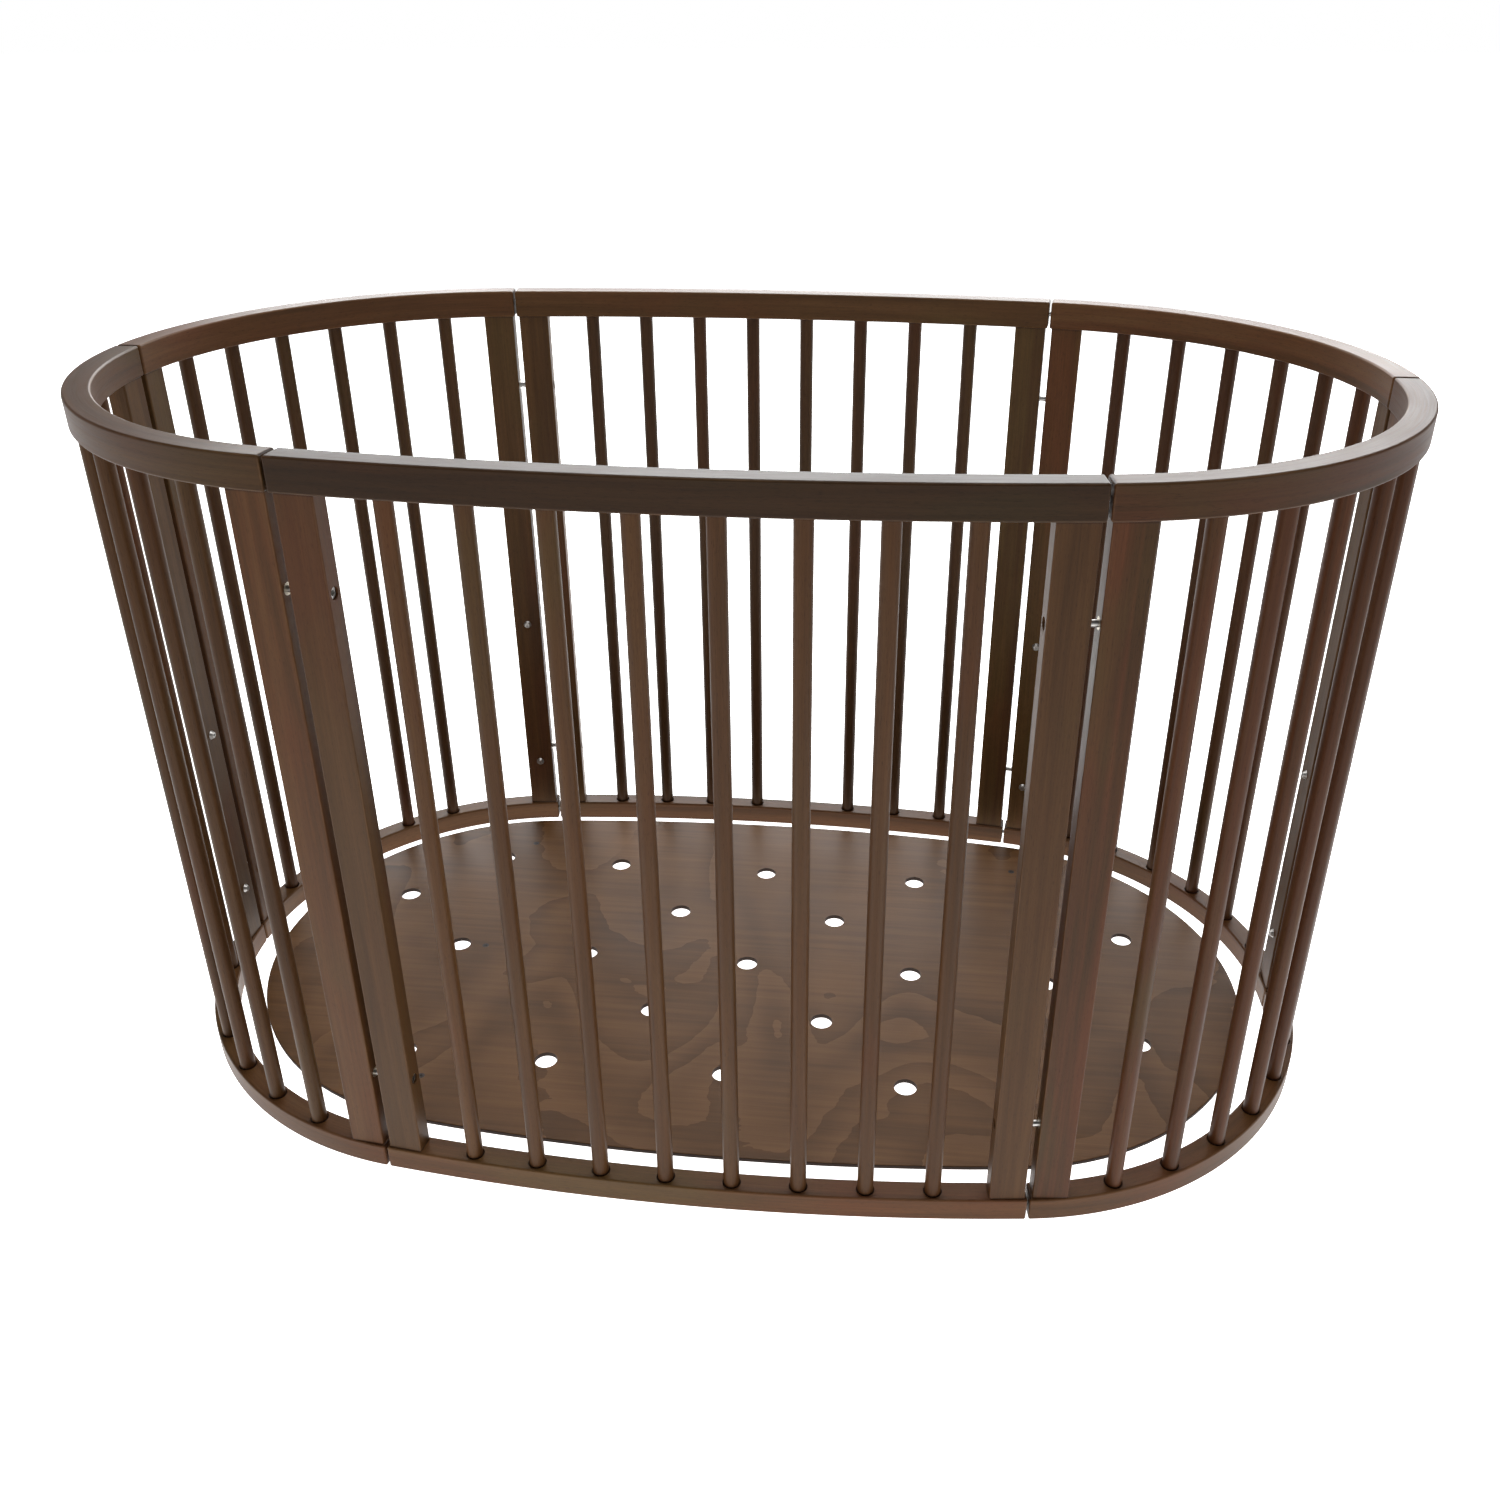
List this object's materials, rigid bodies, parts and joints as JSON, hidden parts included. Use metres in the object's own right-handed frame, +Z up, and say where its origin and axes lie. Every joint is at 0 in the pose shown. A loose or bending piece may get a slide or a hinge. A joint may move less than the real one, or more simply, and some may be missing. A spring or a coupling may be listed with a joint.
{
  "type": "playpen",
  "caption": "Oval wooden playpen with curved slatted sides, bowed long panels, quarter-round ends and a perforated loose base board.",
  "frame": {"origin": "on the floor, in the middle of the oval", "axes": "+X along the length of the oval, to the right; the front side panel is at -Y; +Z up"},
  "size_m": [1.2846, 0.7596, 0.745],
  "materials": {
    "stained_wood": "walnut stain under satin lacquer",
    "stained_plywood": "walnut stain under satin lacquer, rotary-cut figure",
    "plain_beech": "unfinished, glued",
    "zinc_steel": "bright zinc plate"
  },
  "bodies": {
    "frame": {"back_left_quarter_bars": "stained_wood", "back_left_quarter_bottom_rail": "stained_wood", "back_left_quarter_dowels": "plain_beech", "back_left_quarter_end_stile": "stained_wood", "back_left_quarter_side_stile": "stained_wood", "back_left_quarter_top_rail": "stained_wood", "back_left_seam_bolts": "zinc_steel", "back_left_seam_inserts": "zinc_steel", "back_panel_bars": "stained_wood", "back_panel_bottom_rail": "stained_wood", "back_panel_dowels": "plain_beech", "back_panel_left_stile": "stained_wood", "back_panel_right_stile": "stained_wood", "back_panel_top_rail": "stained_wood", "back_right_quarter_bars": "stained_wood", "back_right_quarter_bottom_rail": "stained_wood", "back_right_quarter_dowels": "plain_beech", "back_right_quarter_end_stile": "stained_wood", "back_right_quarter_side_stile": "stained_wood", "back_right_quarter_top_rail": "stained_wood", "back_right_seam_bolts": "zinc_steel", "back_right_seam_inserts": "zinc_steel", "front_left_quarter_bars": "stained_wood", "front_left_quarter_bottom_rail": "stained_wood", "front_left_quarter_dowels": "plain_beech", "front_left_quarter_end_stile": "stained_wood", "front_left_quarter_side_stile": "stained_wood", "front_left_quarter_top_rail": "stained_wood", "front_left_seam_bolts": "zinc_steel", "front_left_seam_inserts": "zinc_steel", "front_panel_bars": "stained_wood", "front_panel_bottom_rail": "stained_wood", "front_panel_dowels": "plain_beech", "front_panel_left_stile": "stained_wood", "front_panel_right_stile": "stained_wood", "front_panel_top_rail": "stained_wood", "front_right_quarter_bars": "stained_wood", "front_right_quarter_bottom_rail": "stained_wood", "front_right_quarter_dowels": "plain_beech", "front_right_quarter_end_stile": "stained_wood", "front_right_quarter_side_stile": "stained_wood", "front_right_quarter_top_rail": "stained_wood", "front_right_seam_bolts": "zinc_steel", "front_right_seam_inserts": "zinc_steel", "left_seam_bolts": "zinc_steel", "left_seam_inserts": "zinc_steel", "level_bolts": "zinc_steel", "level_inserts": "zinc_steel", "rail_pins": "zinc_steel", "right_seam_bolts": "zinc_steel", "right_seam_inserts": "zinc_steel"},
    "base": {"base_board": "stained_plywood", "left_batten": "stained_wood", "right_batten": "stained_wood", "batten_screws": "zinc_steel"}
  },
  "joints": [
    {"name": "base_lift", "type": "slide", "parent": "frame", "child": "base", "axis": [0, 0, 1], "range_m": [0, 0.315]}
  ]
}
